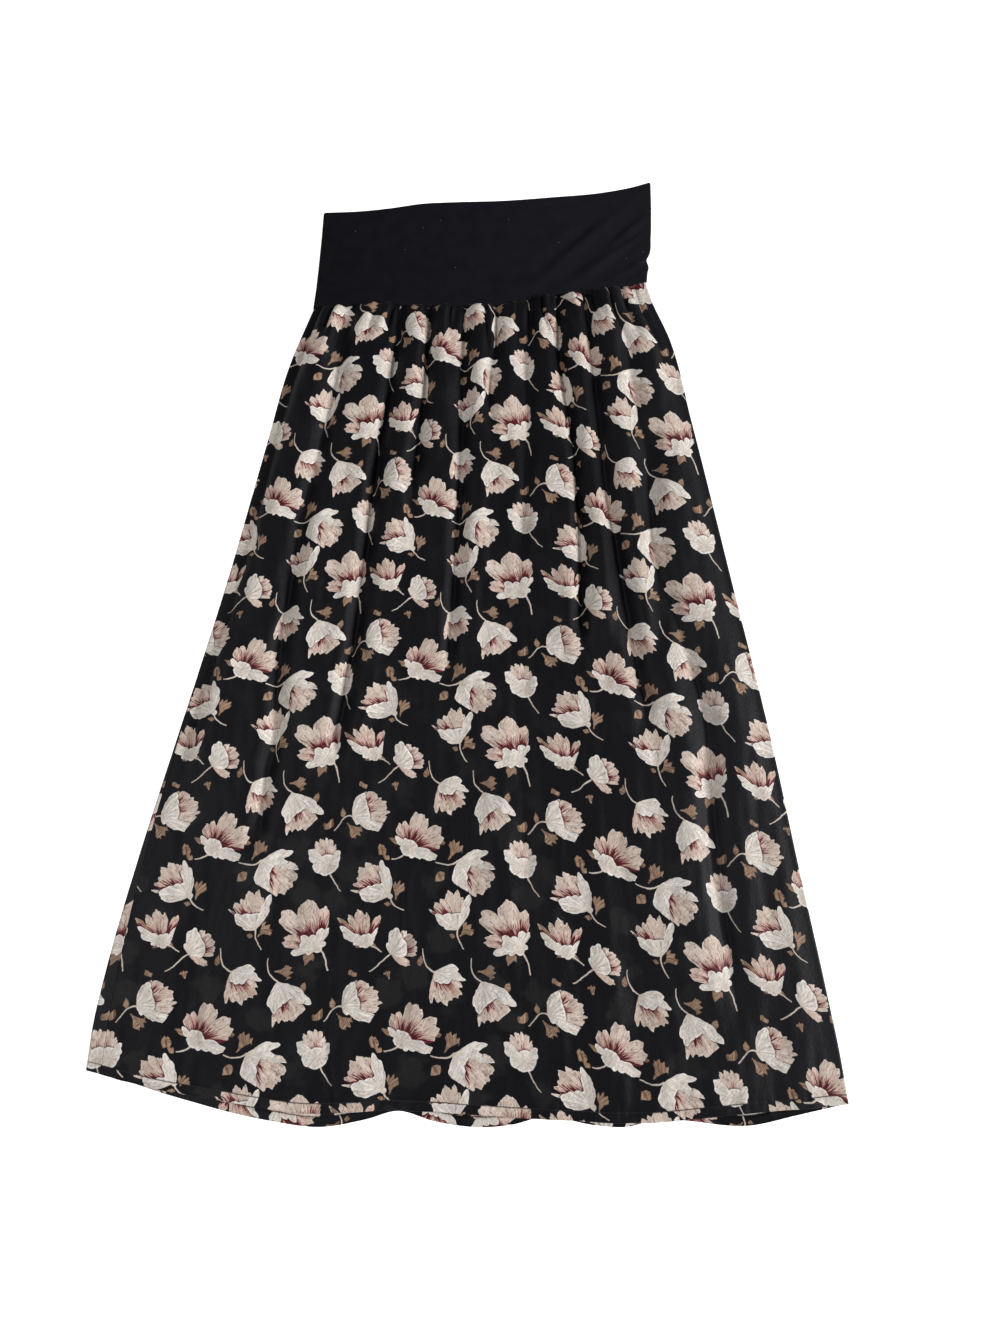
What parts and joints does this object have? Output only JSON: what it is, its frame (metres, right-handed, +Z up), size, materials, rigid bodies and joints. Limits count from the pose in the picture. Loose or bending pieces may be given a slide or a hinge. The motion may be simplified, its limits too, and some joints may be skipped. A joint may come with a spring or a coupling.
{
  "type": "maxi skirt",
  "caption": "Long A-line skirt laid flat: printed chiffon gathered into a wide doubled jersey fold-over waistband, with a narrow turned hem.",
  "frame": {"origin": "on the surface that the garment lies on, under the middle of its bounding box", "axes": "+X across the garment to the right as it is looked at from its front, +Y from the hem to the waist, +Z up out of the surface and out of the garment's front"},
  "size_m": [0.7426, 1.0444, 0.0105],
  "materials": {
    "black_jersey": "matte black cotton-blend single jersey, doubled",
    "printed_chiffon": "black crepe chiffon printed with cream and blush flowers, slight sheen"
  },
  "bodies": {
    "root": {"waistband_front": "black_jersey", "waistband_back": "black_jersey", "skirt_front": "printed_chiffon", "skirt_back": "printed_chiffon"}
  },
  "joints": []
}
